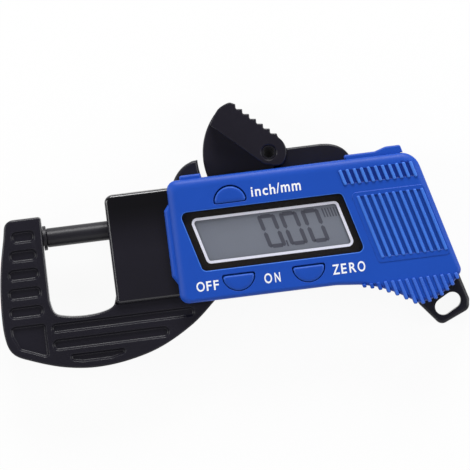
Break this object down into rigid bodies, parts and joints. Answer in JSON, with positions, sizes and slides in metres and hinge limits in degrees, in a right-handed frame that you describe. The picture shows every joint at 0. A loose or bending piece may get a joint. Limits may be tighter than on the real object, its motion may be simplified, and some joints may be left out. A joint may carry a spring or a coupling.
{
  "type": "digital thickness gauge",
  "caption": "Hand-held digital thickness gauge: C-frame with anvil, sliding spindle opened by a thumb lever, slanted display in a ribbed housing, and a lanyard loop.",
  "frame": {"origin": "on the flat rear face, under the spindle's axis in Y and under the lever's pivot in X", "axes": "+X along the spindle away from the anvil, +Y to the thumb lever, +Z to the display"},
  "size_m": [0.1121, 0.0591, 0.017],
  "materials": {
    "blue_plastic": "satin moulded",
    "black_plastic": "fine satin texture",
    "black_steel": "blackened",
    "steel": "turned",
    "brass": "turned",
    "clear_plastic": "clear",
    "lcd_grey": "satin",
    "white_plastic": "satin",
    "board_green": "lacquered",
    "rubber": "matte"
  },
  "bodies": {
    "housing": {"c_frame": "black_plastic", "guide_box_cover": "black_plastic", "front_bush": "brass", "rear_bush": "brass", "anvil": "black_steel", "rear_shell": "black_plastic", "front_cover": "blue_plastic", "display_window": "clear_plastic", "display_mask": "black_plastic", "lcd_glass": "lcd_grey", "lcd_frame": "white_plastic", "zebra_strip_upper": "rubber", "zebra_strip_lower": "rubber", "main_board": "board_green", "controller_chip": "rubber", "unit_switch": "steel", "power_switch": "steel", "zero_switch": "steel", "contact_positive": "brass", "contact_negative": "brass", "housing_screw_1": "steel", "housing_screw_2": "steel", "housing_screw_3": "steel", "housing_screw_4": "steel", "board_screw_1": "steel", "board_screw_2": "steel", "board_screw_3": "steel", "lever_pivot_screw": "black_steel", "guide_rod": "steel", "spring_guide_pin": "steel", "return_spring": "steel"},
    "spindle_carriage": {"spindle": "black_steel", "carriage": "white_plastic", "drive_pin": "steel", "scale_strip": "board_green", "carriage_set_screw": "black_steel"},
    "lever": {"thumb_lever": "black_plastic"},
    "unit_key": {"unit_button": "blue_plastic"},
    "power_key": {"power_button": "blue_plastic"},
    "zero_key": {"zero_button": "blue_plastic"},
    "battery_drawer": {"battery_tray": "blue_plastic", "button_cell": "steel"}
  },
  "joints": [
    {"name": "lever_press", "type": "hinge", "parent": "housing", "child": "lever", "pos_m": [0, 0.0139, 0.0025], "axis": [0, 0, 1], "range_deg": [0, 42.33]},
    {"name": "spindle_slide", "type": "slide", "parent": "housing", "child": "spindle_carriage", "axis": [1, 0, 0], "range_m": [0, 0.0127], "stiffness_N_per_m": 80, "springref_m": -0.005, "deforming": ["return_spring"]},
    {"name": "unit_press", "type": "slide", "parent": "housing", "child": "unit_key", "axis": [0, 0, -1], "range_m": [0, 0.0004], "stiffness_N_per_m": 200, "springref_m": -0.001},
    {"name": "power_press", "type": "slide", "parent": "housing", "child": "power_key", "axis": [0, 0, -1], "range_m": [0, 0.0004], "stiffness_N_per_m": 200, "springref_m": -0.001},
    {"name": "zero_press", "type": "slide", "parent": "housing", "child": "zero_key", "axis": [0, 0, -1], "range_m": [0, 0.0004], "stiffness_N_per_m": 200, "springref_m": -0.001},
    {"name": "battery_slide", "type": "slide", "parent": "housing", "child": "battery_drawer", "axis": [0, 1, 0], "range_m": [0, 0.016]}
  ],
  "couplings": [
    {"joint": "lever_press", "follows": "spindle_slide", "rad_per_m": 58.17}
  ]
}
